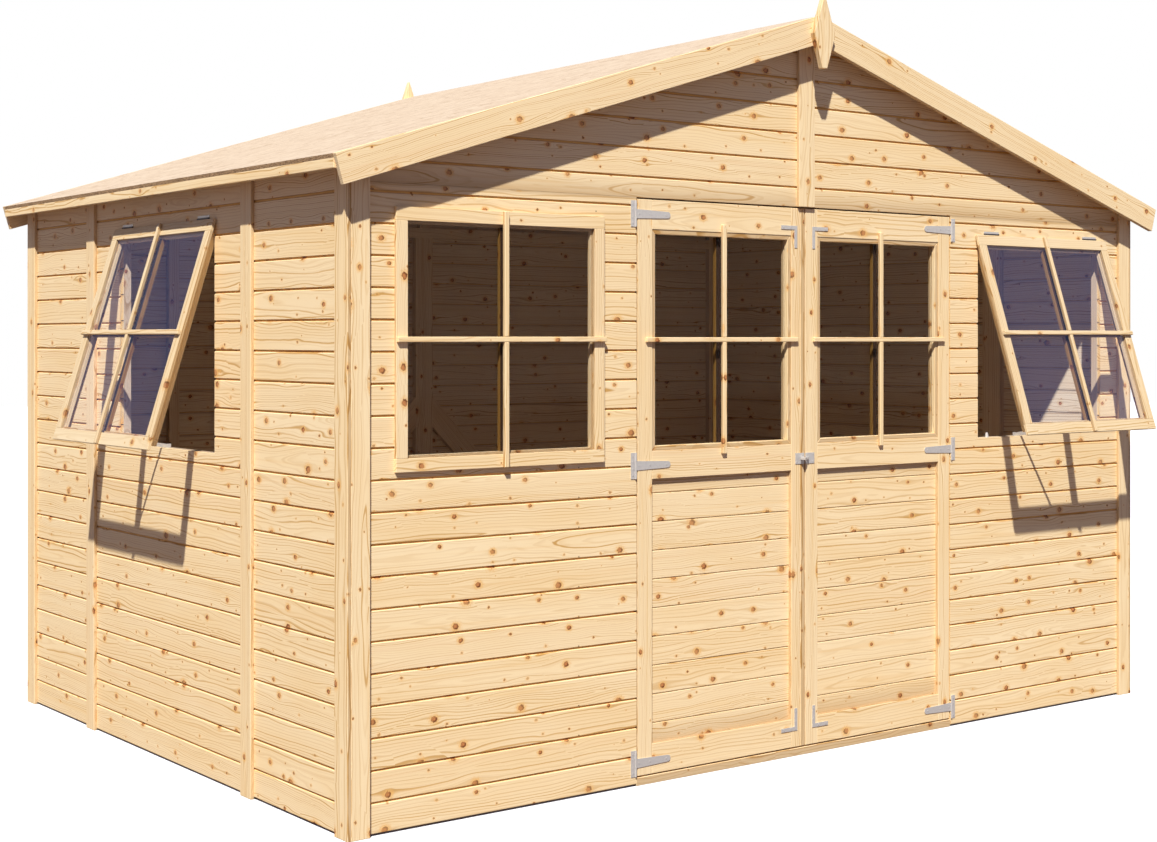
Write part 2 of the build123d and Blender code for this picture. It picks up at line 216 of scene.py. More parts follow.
def spruce(name, paintedShade=None, changes=None):
    look = {**spruceLook, **(changes or {})}
    material, wire, shader = finish(name, Specular_IOR_Level=0.3)
    grain = wire.node("ShaderNodeAttribute", {"attribute_name": "grain"}, None, "Vector")
    u, v, w = split(grain)
    timber = wire.sum("FLOOR", u / timberStride)
    luck = split(wire.node("ShaderNodeTexWhiteNoise", {"noise_dimensions": "1D"}, {"W": timber}, "Color"))
    face = v + w
    knot, knotHalo, knotPush, knotSize, knotLuck, knotSide = knots(
        wire, u, face, look["knotSpacing"], look["knotRadius"], look["knotShare"], 0.37, 1.0)
    speck, speckHalo, speckPush, _, speckLuck, _ = knots(
        wire, u, face, look["speckSpacing"], look["speckRadius"], look["speckShare"], 7.13, 1.5)
    fine = noise(vector(wire, u * 4, v * 30, w * 30), 1.0) - 0.5
    wave = noise(vector(wire, u * 15, v * 20, w * 20), 1.0) - 0.5
    pithV = (luck[0] - 0.5) * 0.24 + wander(u, 0.8, 3.1) * 0.045 + wander(u, 3.3, 8.7) * 0.008
    pithW = luck[1] * luck[1] * 0.11 + 0.016 + wander(u, 0.7, 5.9) * 0.03
    ringV = v - pithV - knotPush - speckPush + wave * 0.003
    ringW = w - pithW
    radius = wire.sum("SQRT", ringV * ringV + ringW * ringW) + fine * 0.0024
    steep = rise(wire.sum("ABSOLUTE", ringV) / radius, 0.02, 0.5)  # 0 where rings are cut along their curve
    spacing = (luck[2] * 0.7 + 0.7) * look["ringSpacing"]
    rings = radius / spacing + wander(radius, 26.0, timber * 3.7) * 0.9
    phase = wire.sum("FRACT", rings)
    strong = wire.node("ShaderNodeTexWhiteNoise", {"noise_dimensions": "2D"},
                       {"Vector": vector(wire, wire.sum("FLOOR", rings), timber)})
    late = rise(phase, 0.88 - steep * 0.32, 0.93 - steep * 0.06)
    late = late * (1 - rise(phase, 0.95 - steep * 0.03, 1.0)) * (strong * strong * 0.85 + 0.22)
    thin = wire.sum("FRACT", rings * 2.7 + fine)
    thin = rise(thin, 0.5, 0.88) * (1 - rise(thin, 0.92, 1.0))
    streak = noise(vector(wire, u * 1.3, v * 60, w * 60), 1.0, 3.0)
    fibre = noise(vector(wire, u * 9, v * 420, w * 420), 1.0, 3.0, 0.6)
    cloud = noise(vector(wire, u * 2.3, v * 9, w * 9), 1.0)

    tone = mix(wire, rise(luck[2] * 0.2 + cloud * 0.8, 0.3, 0.75),
               paint(*look["pale"]), paint(*look["warm"]))
    tone = mix(wire, rise(luck[0] * 0.25 + streak * 0.65, 0.5, 0.8) * 0.6, tone, paint(*look["rosy"]))
    tone = mix(wire, thin * 0.2, tone, paint(*look["late"]))
    tone = mix(wire, late * (cloud * 0.5 + 0.8), tone, paint(*look["late"]))
    tone = mix(wire, rise(streak, 0.54, 0.74) * 0.34, tone, paint(*look["gold"]))
    tone = mix(wire, rise(fibre, 0.55, 0.8) * 0.2, tone, paint(*look["late"]))
    curl = wire.sum("FRACT", knotSize * 1.9 + wave * 1.6)
    curl = rise(curl, 0.5, 0.85) * (1 - rise(curl, 0.9, 1.0)) * knotHalo * knotHalo
    tone = mix(wire, knotHalo * knotHalo * (wave * 0.8 + 0.75), tone, paint(*look["halo"]))
    tone = mix(wire, curl * 0.5, tone, paint(*look["late"]))
    tone = mix(wire, speckHalo * speckHalo * 0.6, tone, paint(*look["halo"]))
    growth = wire.sum("FRACT", knotSize * 2.3 + fine * 1.5 + knotLuck)
    dark = rise(knotSide, -0.3, 0.5) * rise(knotSize, 0.2, 0.7)
    heart = mix(wire, rise(growth, 0.5, 0.9) * 0.5, paint(*look["knot"]), paint(*look["rim"]))
    heart = mix(wire, wire.sum("MAXIMUM", dark, rise(knotSize, 0.7, 0.95) * knotLuck),
                heart, paint(*look["rim"]))
    tone = mix(wire, knot * (knotLuck * 0.3 + 0.7), tone, heart)
    tone = mix(wire, speck * (speckLuck * 0.6 + 0.35), tone, paint(*look["speck"]))
    # painted shade: the faces deep in the board grooves are tinted warmer and darker, which also dulls the
    # highlight on the chamfer
    tone = mix(wire, marked(wire, "grooveShade"), tone, paint(*look["grooveShade"]), "MULTIPLY")
    # painted shade: the narrow faces are darkened, and those that look up are darkened more, to hold back the
    # light they catch
    narrowFaceShade = mix(wire, rise(slant(wire), 0.5, 0.8), paint(*look["side"]), paint(*look["upSideShade"]))
    tone = mix(wire, marked(wire, "side"), tone, narrowFaceShade, "MULTIPLY")  # the narrow faces
    # painted shade multiplied into the wood
    if paintedShade:
        tone = mix(wire, 1.0, tone, paint(*paintedShade), "MULTIPLY")
    height = fibre * 0.5 + late * -0.35 + knot * 0.6 + streak * 0.2
    feed(shader, Base_Color=tone, Roughness=fibre * 0.16 + 0.56 - late * 0.06 - knot * 0.12,
         Normal=bump(height, look["relief"], 0.55))
    return material


# strand board: chips in three directions, pressed in layers

strandLook = {"light": (208, 188, 162), "mid": (194, 171, 144), "dark": (163, 134, 105),
              "edge": (224, 186, 138), "edgeDark": (128, 94, 62), "layer": 0.0022, "relief": 0.0012,
              "chips": ((14, 0.085, 0.02, 0.0), (83, 0.07, 0.018, 0.42), (-38, 0.06, 0.016, 0.5))}


def strandBoard(name, slope):
    material, wire, shader = finish(name, Specular_IOR_Level=0.25)
    x, y, z = split(objectPlace(wire))
    edge = 1 - rise(wire.sum("ABSOLUTE", slant(wire)), 0.6, 0.8)  # sawn edges, the chips cut across
    depth = z + wire.sum("ABSOLUTE", x) * slope
    tone = paint(*strandLook["mid"])
    height = None
    for turn, length, width, share in strandLook["chips"]:
        cosine, sine = math.cos(math.radians(turn)), math.sin(math.radians(turn))
        along = x * cosine + y * sine
        across = y * cosine - x * sine
        sway = noise(vector(wire, x, y, depth), 9.0) * 0.02
        cell = vector(wire, (along + sway) / length, (across + sway) / width,
                      depth / strandLook["layer"] * 0.3)
        chip = wire.node("ShaderNodeTexVoronoi", {"voronoi_dimensions": "3D"},
                         {"Vector": cell, "Scale": 1.0}).socket.node
        luck = split(Wire(wire.tree, chip.outputs["Color"]))
        rim = Wire(wire.tree, chip.outputs["Distance"])
        grain = noise(vector(wire, along * 30, across * 700, luck[2] * 9), 1.0, 2.0)
        chipTone = mix(wire, luck[1] * 0.8 + grain * 0.35 - 0.15, paint(*strandLook["light"]),
                       paint(*strandLook["mid"]))
        chipTone = mix(wire, rise(luck[2], 0.8, 1.0) * 0.7, chipTone, paint(*strandLook["dark"]))
        chipTone = mix(wire, rise(rim, 0.5, 0.95) * 0.5, chipTone, paint(*strandLook["dark"]))
        shown = wire.sum("GREATER_THAN", luck[0], share)
        tone = mix(wire, shown, tone, chipTone)
        lift = (luck[1] + grain * 0.3) * shown
        height = lift if height is None else height * (1 - shown) + lift
    layers = noise(vector(wire, x * 60, y * 60, z * 900), 1.0, 3.0)
    ends = noise(vector(wire, x * 300, y * 220, z * 500), 1.0, 2.0)
    sawn = mix(wire, rise(layers * 0.6 + ends * 0.5, 0.42, 0.66), paint(*strandLook["edgeDark"]),
               paint(*strandLook["edge"]))
    tone = mix(wire, edge, tone, sawn)
    feed(shader, Base_Color=tone, Roughness=height * 0.15 + 0.62,
         Normal=bump(height + ends * edge, strandLook["relief"], 0.6))
    return material


# zinc on steel, the glass, the dark strips behind it that paint the shade there, and the nails

steelLook = {"zinc": (209, 203, 194), "dull": (192, 187, 182), "barrel": (70, 66, 72),
             "spangle": 0.006, "relief": 0.0002, "barrelTop": 0.0062, "barrelBlend": 0.0006}


def zincSteel(name, barrelFoot=None):
    material, wire, shader = finish(name, Metallic=0.3)
    place = objectPlace(wire)
    spangle = split(wire.node("ShaderNodeTexVoronoi", None,
                              {"Vector": place, "Scale": 1 / steelLook["spangle"]}, "Color"))[0]
    smear = noise(place, 60.0, 4.0)
    scuff = noise(place, 900.0, 2.0)
    tone = mix(wire, spangle * 0.3 + smear * 0.5, paint(*steelLook["zinc"]), paint(*steelLook["dull"]))
    # painted shadow: the barrel below the flap is darkened to stand in for the shadow under the flap
    if barrelFoot is not None:  # the barrel below the flap is darker than the plate
        above = split(place)[2] - barrelFoot
        top = steelLook["barrelTop"]
        tone = mix(wire, 1 - rise(above, top - steelLook["barrelBlend"], top), tone,
                   paint(*steelLook["barrel"]))
    feed(shader, Base_Color=tone, Roughness=smear * 0.25 + spangle * 0.08 + 0.34,
         Normal=bump(scuff * 0.4 + spangle * 0.2, steelLook["relief"], 0.4))
    return material


glassLook = {"shut": (34, 27, 22), "tilted": (128, 134, 196), "shutVeil": 0.11, "tiltedVeil": 0.016,
             "smear": 0.04, "sheen": (136, 176, 255), "sheenStrength": 2.1}  # sheen: sky on a tilted pane


def paneGlass(name):
    material, wire, shader = finish(name, Specular_IOR_Level=0.35,
                                    Emission_Strength=glassLook["sheenStrength"])
    place = objectPlace(wire)
    tilted = rise(wire.sum("ABSOLUTE", slant(wire)), 0.1, 0.25)  # the open sashes catch the sky
    smear = noise(place, 6.0, 3.0)
    veil = smear * glassLook["smear"] + (glassLook["shutVeil"] - glassLook["smear"] / 2)
    feed(shader, Base_Color=mix(wire, tilted, paint(*glassLook["shut"]), paint(*glassLook["tilted"])),
         Roughness=smear * 0.03 + 0.01,
         Emission_Color=mix(wire, tilted, paint(0, 0, 0), paint(*glassLook["sheen"])),
         Alpha=veil * (1 - tilted * (1 - glassLook["tiltedVeil"] / glassLook["shutVeil"])))
    material.surface_render_method = "BLENDED"
    return material


# painted shade: dark strips on the glass side of the inner bars, where there is only shade
shadeTapeLook = {"light": (78, 54, 36), "dark": (50, 32, 20), "speckle": 240.0, "rough": 0.6,
            "relief": 0.0003, "bite": 0.4}
nailLook = {"light": (112, 84, 54), "dark": (70, 50, 32), "speckle": 700.0, "rough": 0.45,
            "relief": 0.0002, "bite": 0.5}


def speckledWearAndShade(name, look, **fixed):  # two tones, speckled: wear on the nail heads, painted shade on the dark strips behind the glass
    material, wire, shader = finish(name, **fixed)
    wearAndShade = noise(objectPlace(wire), look["speckle"], 3.0)
    feed(shader, Base_Color=mix(wire, wearAndShade, paint(*look["light"]), paint(*look["dark"])),
         Roughness=wearAndShade * 0.2 + look["rough"], Normal=bump(wearAndShade, look["relief"], look["bite"]))
    return material


timberMaterial = spruce("planedSpruce")
innerMaterial = spruce("shadedSpruce", paintedShades["innerBars"])
sawnMaterial = spruce("sawnSpruce", changes=sawnSpruce)
sashShadedMaterial = spruce("sashShadedSpruce", paintedShades["sash"])
roofPitch = math.radians(16.95)  # as the solids have it
roofMaterial = strandBoard("strandBoard", math.tan(roofPitch))
steelMaterial = zincSteel("zincSteel")
glassMaterial = paneGlass("windowGlass")
hingeShadowedMaterial = zincSteel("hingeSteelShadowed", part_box("window_hinges")[0].z)
shadeTapeMaterial = speckledWearAndShade("glazingTape", shadeTapeLook, Specular_IOR_Level=0.2)
nailMaterial = speckledWearAndShade("nailSteel", nailLook, Metallic=0.4)
print("materials made")


# making pieces

def deselect():
    bpy.ops.object.select_all(action="DESELECT")


def take(*pieces):
    deselect()
    for piece in pieces:
        piece.select_set(True)
    bpy.context.view_layer.objects.active = pieces[0]
    return pieces[0]


def fix():  # place, turn and scale go into the mesh
    bpy.ops.object.transform_apply(location=True, rotation=True, scale=True)


def block(low, high):
    deselect()
    bpy.ops.mesh.primitive_cube_add(size=1, location=[(a + b) / 2 for a, b in zip(low, high)],
                                    scale=[abs(b - a) for a, b in zip(low, high)])
    fix()
    return bpy.context.object


def everything(middle, direction):
    return True


def openEmpty(piece, kind):  # nothing selected, ready to select faces or edges
    take(piece)
    bpy.ops.object.mode_set(mode="EDIT")
    bpy.ops.mesh.select_mode(type=kind)
    bpy.ops.mesh.select_all(action="DESELECT")
    bpy.ops.object.mode_set(mode="OBJECT")


def openFaces(piece, wanted):  # edit mode, with the faces that wanted(middle, normal) picks
    openEmpty(piece, "FACE")
    for face in piece.data.polygons:
        face.select = wanted(face.center, face.normal)
    bpy.ops.object.mode_set(mode="EDIT")


def openEdges(piece, wanted):  # edit mode, with the edges that wanted(middle, direction) picks
    openEmpty(piece, "EDGE")
    points = piece.data.vertices
    for edge in piece.data.edges:
        a, b = (points[i].co for i in edge.vertices)
        edge.select = wanted((a + b) / 2, (b - a).normalized())
    bpy.ops.object.mode_set(mode="EDIT")


def closeEdit():
    bpy.ops.object.mode_set(mode="OBJECT")


def saw(piece, point, away, keepBoth=False):  # cuts, and drops what lies on the away side
    openFaces(piece, everything)
    bpy.ops.mesh.bisect(plane_co=point, plane_no=away, use_fill=not keepBoth, clear_outer=not keepBoth)
    closeEdit()


def apply(piece, kind, **settings):
    take(piece)
    modifier = piece.modifiers.new("work", kind)
    for key, value in settings.items():
        setattr(modifier, key, value)
    bpy.ops.object.modifier_apply(modifier="work")


def ease(piece, width, segments=2):  # rounds the sharp edges
    apply(piece, "BEVEL", width=width, segments=segments, limit_method="ANGLE",
          angle_limit=math.radians(25))


def stack(piece, count, step):  # repeats a board edge to edge
    apply(piece, "ARRAY", count=count, use_relative_offset=False, use_constant_offset=True,
          constant_offset_displace=step)


def pull(*step):  # pushes out what is selected
    bpy.ops.mesh.extrude_region_move(TRANSFORM_OT_translate={"value": step})


def joined(pieces):
    take(*pieces)
    if len(pieces) > 1:
        bpy.ops.object.join()
    return bpy.context.object


def copied(piece):
    take(piece)
    bpy.ops.object.duplicate()
    return bpy.context.object


def drop(piece):
    bpy.data.objects.remove(piece)


def coat(piece, material):
    piece.data.materials.clear()
    piece.data.materials.append(material)


def markGrain(piece, along=None):  # each separate timber gets its own grain, lengthwise
    global timberCount
    mesh = piece.data
    group = list(range(len(mesh.vertices)))

    def root(i):
        while group[i] != i:
            group[i] = group[group[i]]
            i = group[i]
        return i

    for edge in mesh.edges:
        group[root(edge.vertices[0])] = root(edge.vertices[1])
    timbers, longest = {}, {}
    for point in mesh.vertices:
        timbers.setdefault(root(point.index), []).append(point.co)
    for edge in mesh.edges:
        run = mesh.vertices[edge.vertices[1]].co - mesh.vertices[edge.vertices[0]].co
        home = root(edge.vertices[0])
        if home not in longest or run.length > longest[home].length:
            longest[home] = run
    layouts = {}
    for home, points in timbers.items():
        timberCount += 1
        length = (Vector(along) if along else longest[home]).normalized()
        low = [min(p[i] for p in points) for i in range(3)]
        high = [max(p[i] for p in points) for i in range(3)]
        spans = [b - a if abs(length[i]) < 0.7 else 9 for i, (a, b) in enumerate(zip(low, high))]
        thin = Vector([0, 0, 0])
        thin[spans.index(min(spans))] = 1
        across = thin.cross(length).normalized()
        middle = (Vector(low) + Vector(high)) / 2
        layouts[home] = (middle, length, across, across.cross(length) * dice.choice((1, -1)),
                         timberStride * timberCount + dice.uniform(7, 13))
    places, reach = [], {}
    for point in mesh.vertices:
        home = root(point.index)
        middle, length, across, thin, start = layouts[home]
        out = point.co - middle
        places += [out.dot(length) + start, out.dot(across), out.dot(thin)]
        reach[home] = max(reach.get(home, 0), abs(places[-2]))
    mesh.attributes.new("grain", "FLOAT_VECTOR", "POINT").data.foreach_set("vector", places)
    slack = 0.00025  # points this close to its outermost ones are on a narrow face
    sides = [float(abs(places[3 * p.index + 1]) > reach[root(p.index)] - slack) for p in mesh.vertices]
    mesh.attributes.new("side", "FLOAT", "POINT").data.foreach_set("value", sides)


def dress(piece, name, material, body, slot, *nodes):
    piece.name = name
    piece.data.name = name
    coat(piece, material)
    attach(piece, body)
    if nodes:
        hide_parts(*nodes)
    return piece


def roughBack(piece, outwards):  # its inner faces stay as the saw left them
    piece.data.materials.append(sawnMaterial)
    piece.active_material_index = 1
    openFaces(piece, lambda middle, normal: normal.dot(Vector(outwards)) < -0.5)
    bpy.ops.object.material_slot_assign()
    closeEdit()


def nodeCopy(node):  # a merged copy of a CAD node, to be shaped further
    take(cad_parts[node])
    bpy.ops.object.duplicate()
    piece = bpy.context.object
    piece.parent = None
    for key in list(piece.keys()):
        del piece[key]
    openFaces(piece, everything)
    bpy.ops.mesh.remove_doubles(threshold=0.00001)
    bpy.ops.mesh.dissolve_limited(angle_limit=math.radians(1))
    bpy.ops.mesh.select_all(action="SELECT")
    bpy.ops.mesh.normals_make_consistent(inside=False)
    closeEdit()
    return piece


# wall boards: one shiplap course, stacked up the wall, then cut to the roof and the openings

boards = {"pitch": 0.0917, "firstJoint": 0.0966, "thick": 0.016, "lip": 0.0055, "back": 0.0059,
          "gap": 0.005, "toe": 0.0008, "grooveShadeDepth": 0.0045, "chamfer": 0.0032, "rebate": 0.0075,
          "tongue": 0.0045, "easing": 0.0007, "leftJoint": 0.6, "rightJoint": 0.565,
          "halfSeam": 0.0004, "sashLap": 0.016, "underRoof": 0.0005, "overDoors": 0.0006}
sawBeyond = 0.1  # how far a cutter stands out on both faces


def boardCourse(length):  # from x 0, faces outwards along -Y at y 0
    pitch, lip, near = boards["pitch"], boards["back"], 0.001
    course = block((0, lip, boards["rebate"]), (length, boards["thick"], pitch + boards["tongue"]))
    top = pitch - boards["gap"] + boards["toe"]
    saw(course, (0, 0, top), (0, 0, 1), keepBoth=True)
    openFaces(course, lambda middle, normal: normal.y < -0.5 and middle.z < top)
    pull(0, -lip, 0)
    closeEdit()
    openFaces(course, lambda middle, normal: normal.z < -0.5 and middle.y < lip)
    pull(0, 0, boards["toe"] - boards["rebate"])
    closeEdit()
    openFaces(course, lambda middle, normal: normal.y > 0.5 and middle.z < boards["rebate"]
              and middle.y < boards["thick"] / 2)
    bpy.ops.transform.translate(value=(0, boards["lip"] - lip, 0))
    closeEdit()
    openEdges(course, lambda middle, run: abs(run.x) > 0.5 and middle.y < near
              and abs(middle.z - top) < near)
    bpy.ops.transform.translate(value=(0, 0, -boards["chamfer"]))
    closeEdit()
    openEdges(course, lambda middle, run: abs(run.x) > 0.5 and middle.y < near)
    bpy.ops.mesh.bevel(offset=boards["easing"], segments=2)
    closeEdit()
    return course


def boardWall(start, length, outwards, top):  # outwards is the turn about Z, 0 for the front
    wall = boardCourse(length)
    bottom = boards["firstJoint"] - boards["pitch"]
    stack(wall, math.ceil((top - bottom) / boards["pitch"]), (0, 0, boards["pitch"]))
    wall.rotation_euler = (0, 0, math.radians(outwards))
    wall.location = (start[0], start[1], bottom)
    fix()
    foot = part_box("front_wall_left")[0].z
    openFaces(wall, lambda middle, normal: normal.z < -0.5 and middle.z < bottom + 0.002)
    bpy.ops.transform.translate(value=(0, 0, foot - bottom - boards["toe"]))  # down to the ground
    closeEdit()
    saw(wall, (0, 0, foot), (0, 0, -1))
    return wall


def underRoof(wall):  # cuts both slopes of the roof's underside
    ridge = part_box("front_gable")[1].z - boards["underRoof"]
    for side in (-1, 1):
        saw(wall, (0, 0, ridge), (side * math.tan(roofPitch), 0, 1))


def cutOut(wall, cutter):
    apply(wall, "BOOLEAN", operation="DIFFERENCE", object=cutter, solver="EXACT")


def cutOpening(wall, low, high):
    cutter = block(low, high)
    cutOut(wall, cutter)
    drop(cutter)


def buildWalls():
    seam, lap = boards["halfSeam"], boards["sashLap"]
    low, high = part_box("front_left_sash")
    opening = (low.x + lap, high.x - lap, low.z + lap, high.z - lap)
    walls = []
    for side, node in ((-1, "front_wall_left"), (1, "front_wall_right")):
        low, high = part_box(node)
        wall = boardWall((low.x, low.y), high.x - low.x, 0, high.z)
        saw(wall, (0, 0, high.z), (0, 0, 1))
        x0, x1 = sorted((side * -opening[0], side * -opening[1]))
        cutOpening(wall, (x0, low.y - sawBeyond, opening[2]), (x1, high.y + sawBeyond, opening[3]))
        walls.append((wall, node, (1, 0, 0)))

    low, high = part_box("front_gable")
    halves = []
    for x0, x1 in ((low.x, -seam), (seam, high.x)):
        half = boardWall((x0, low.y), x1 - x0, 0, high.z)
        saw(half, (0, 0, low.z + boards["overDoors"]), (0, 0, -1))
        underRoof(half)
        halves.append(half)
    purlins = nodeCopy("purlins")
    for half in halves:
        cutOut(half, purlins)
    walls.append((joined(halves), "front_gable", (1, 0, 0)))

    low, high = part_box("back_wall")
    halves = []
    for x0, x1 in ((low.x, -seam), (seam, high.x)):
        half = boardWall((x1, high.y), x1 - x0, 180, high.z)
        underRoof(half)
        cutOut(half, purlins)
        halves.append(half)
    walls.append((joined(halves), "back_wall", (1, 0, 0)))
    drop(purlins)

    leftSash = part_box("left_sash")
    for side, node in ((-1, "left_wall"), (1, "right_wall")):
        low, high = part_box(node)
        joint = boards["leftJoint"] if side < 0 else boards["rightJoint"]
        breaks = [low.y, -joint, joint, high.y]
        face = low.x if side < 0 else high.x
        panels = []
        for y0, y1 in zip(breaks, breaks[1:]):
            y0, y1 = y0 + seam, y1 - seam
            panel = boardWall((face, y1 if side < 0 else y0), y1 - y0, 90 * side, high.z)
            underRoof(panel)
            panels.append(panel)
        if side < 0:
            half = (leftSash[1].y - leftSash[0].y) / 2 - lap
            cutOpening(panels[1], (low.x - sawBeyond, -half, opening[2]),
                       (high.x + sawBeyond, half, opening[3]))
        walls.append((joined(panels), node, (0, 1, 0)))

    names = {"front_wall_left": "frontBoardsLeft", "front_wall_right": "frontBoardsRight",
             "left_wall": "leftBoards", "right_wall": "rightBoards",
             "front_gable": "gableBoards", "back_wall": "backBoards"}
    outwards = {"back_wall": (0, 1, 0), "left_wall": (-1, 0, 0), "right_wall": (1, 0, 0)}
    for wall, node, along in walls:
        markGrain(wall, along)
        grain = wall.data.attributes["grain"].data
        # painted shade mask: points deep in the grooves, whose wood gets a warmer, darker tint
        grooveShadeMask = [float(abs(entry.vector[2]) < boards["grooveShadeDepth"]) for entry in grain]
        wall.data.attributes.new("grooveShade", "FLOAT", "POINT").data.foreach_set("value", grooveShadeMask)
        dress(wall, names[node], timberMaterial, "shed", "spruce_boards", node)
        roughBack(wall, outwards.get(node, (0, -1, 0)))


buildWalls()
print("wall boards done")


# framing, strips, roof edges: the CAD timbers with eased edges and their own grain

trim = {"easing": 0.0016, "roughEasing": 0.0009}
timberNodes = {  # each with 1 where it is planed, 0 where it is rough from the saw
    "cornerStripsFront": ("gable_corner_strips", 1), "cornerStripsSide": ("side_corner_strips", 1),
    "coverStrips": ("cover_strips", 1), "bargeboardFrontLeft": ("front_bargeboard_left", 1),
    "bargeboardFrontRight": ("front_bargeboard_right", 1),
    "bargeboardBackLeft": ("back_bargeboard_left", 1),
    "bargeboardBackRight": ("back_bargeboard_right", 1), "finialPlates": ("finials", 1),
    "eavesBattens": ("eaves_battens", 1), "roofPurlins": ("purlins", 1), "frontPosts": ("front_posts", 0),
    "backPosts": ("back_posts", 0), "sidePosts": ("side_posts", 0), "bottomRails": ("bottom_rails", 0),
    "topRails": ("top_rails", 0), "windowRails": ("window_rails", 0), "gableRafters": ("gable_rafters", 0),
    "gableStuds": ("gable_studs", 0), "wallBraces": ("wall_braces", 0), "doorSill": ("door_sill", 1),
    "floorBearers": ("floor_bearers", 0),
}


def dressTimbers():
    for name, (node, planed) in timberNodes.items():
        piece = nodeCopy(node)
        ease(piece, trim["easing"] if planed else trim["roughEasing"])
        markGrain(piece, (0, 0, 1) if node == "finials" else None)
        dress(piece, name, timberMaterial if planed else sawnMaterial, "shed", "spruce_timber", node)


dressTimbers()
print("framing and trim done")


# floor: boards laid across the bearers, along the depth

floorLook = {"board": 0.112, "gap": 0.0012, "easing": 0.0015}


def buildFloor():
    low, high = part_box("floor_deck")
    count = round((high.x - low.x) / floorLook["board"])
    pitch = (high.x - low.x) / count
    gap = floorLook["gap"] / 2
    board = block((low.x + gap, low.y, low.z), (low.x + pitch - gap, high.y, high.z))
    openEdges(board, lambda middle, run: abs(run.y) > 0.9 and middle.z > high.z - 0.001)
    bpy.ops.mesh.bevel(offset=floorLook["easing"], segments=2)
    closeEdit()
    stack(board, count, (pitch, 0, 0))
    markGrain(board, (0, 1, 0))
    dress(board, "floorBoards", timberMaterial, "shed", "floor_spruce", "floor_deck")


buildFloor()
print("floor done")


# window sashes: rebated members, rails across the full width, and crossed bars in and out

sashLook = {"member": 0.040, "flange": 0.011, "inner": 0.026, "step": 0.019, "glassBack": 0.001,
            "bar": (0.017, 0.016), "proud": 0.012, "bead": 0.008, "beadDepth": 0.012,
            "innerBarEnd": 0.016, "shadeTape": 0.0008, "easing": 0.0014, "barEasing": 0.0022,
            "innerEasing": 0.001, "shadeTapeEasing": 0.0003, "tilt": 17.5}


def rebatedMember(low, high, innerLow, innerHigh):  # flange in front, its inner part stepped in behind
    member = block((low[0], -sashLook["flange"], low[1]), (high[0], 0, high[1]))
    for axis, lines in ((0, (innerLow[0], innerHigh[0])), (2, (innerLow[1], innerHigh[1]))):
        for line in lines:
            point, away = [0, 0, 0], [0, 0, 0]
            point[axis], away[axis] = line, 1
            saw(member, point, away, keepBoth=True)
    openFaces(member, lambda middle, normal: normal.y > 0.5 and innerLow[0] < middle.x < innerHigh[0]
              and innerLow[1] < middle.z < innerHigh[1])
    pull(0, sashLook["inner"], 0)
    closeEdit()
    openFaces(member, everything)
    bpy.ops.mesh.dissolve_limited(angle_limit=math.radians(1))
    closeEdit()
    ease(member, sashLook["easing"])
    markGrain(member)
    return member


def easedTimber(low, high, easing):
    piece = block(low, high)
    ease(piece, easing)
    markGrain(piece)
    return piece


def mitredRing(x0, x1, z0, z1, y0, y1, width, easing):  # four beads round a pane
    pieces = []
    for outX, outZ in ((1, 0), (-1, 0), (0, 1), (0, -1)):
        low = [x0, y0, z0]
        high = [x1, y1, z1]
        axis, out = (0, outX) if outX else (2, outZ)
        if out > 0:
            low[axis] = high[axis] - width
        else:
            high[axis] = low[axis] + width
        bead = block(low, high)
        for way in (-1, 1):
            runX, runZ = (0, way) if outX else (way, 0)
            corner = (x1 if outX + runX > 0 else x0, 0, z1 if outZ + runZ > 0 else z0)
            saw(bead, corner, (runX - outX, 0, runZ - outZ))
        ease(bead, easing)
        markGrain(bead)
        pieces.append(bead)
    return pieces


def crossedBars(low, high, middle, bar, easing):  # one bar runs through, two butt against it
    (x0, y0, z0), (x1, y1, z1) = low, high
    x, z = middle
    wide, tall = bar[0] / 2, bar[1] / 2
    return [easedTimber((x0, y0, z - tall), (x1, y1, z + tall), easing),
            easedTimber((x - wide, y0, z0), (x + wide, y1, z - tall), easing),
            easedTimber((x - wide, y0, z + tall), (x + wide, y1, z1), easing)]


def innerBars(low, high, middle, bar):  # behind the glass, on a thin dark strip that paints the shade on their glass side
    back = low[1] + sashLook["shadeTape"]
    bars = crossedBars((low[0], back, low[2]), high, middle, bar, sashLook["innerEasing"])
    shadeStrips = crossedBars(low, (high[0], back, high[2]), middle, bar, sashLook["shadeTapeEasing"])
    return joined(bars), joined(shadeStrips)


def buildSash(width, height):  # shut, its wall face at y 0 and its top at z 0
    half, member, step = width / 2, sashLook["member"], sashLook["step"]
    inLow, inHigh = (-half + step, -height + step), (half - step, -step)
    pieces = [rebatedMember((-half, -member), (half, 0), inLow, inHigh),
              rebatedMember((-half, -height), (half, -height + member), inLow, inHigh),
              rebatedMember((-half, -height + member), (-half + member, -member), inLow, inHigh),
              rebatedMember((half - member, -height + member), (half, -member), inLow, inHigh)]
    face, back = -sashLook["flange"], sashLook["glassBack"]
    middle = (0, -height / 2)
    x, z0, z1 = half - member, -height + member, -member
    pieces += crossedBars((-half, face - sashLook["proud"], -height), (half, face, 0), middle,
                          sashLook["bar"], sashLook["barEasing"])
    bead = sashLook["bead"]
    pieces += mitredRing(-x, x, z0, z1, back, back + sashLook["beadDepth"], bead, sashLook["innerEasing"])
    bars, shadeTape = innerBars((-x + bead, back, z0 + bead), (x - bead, sashLook["innerBarEnd"], z1 - bead),
                           middle, sashLook["bar"])
    return {"Sash": joined(pieces), "InnerBars": bars, "GlazingTape": shadeTape}


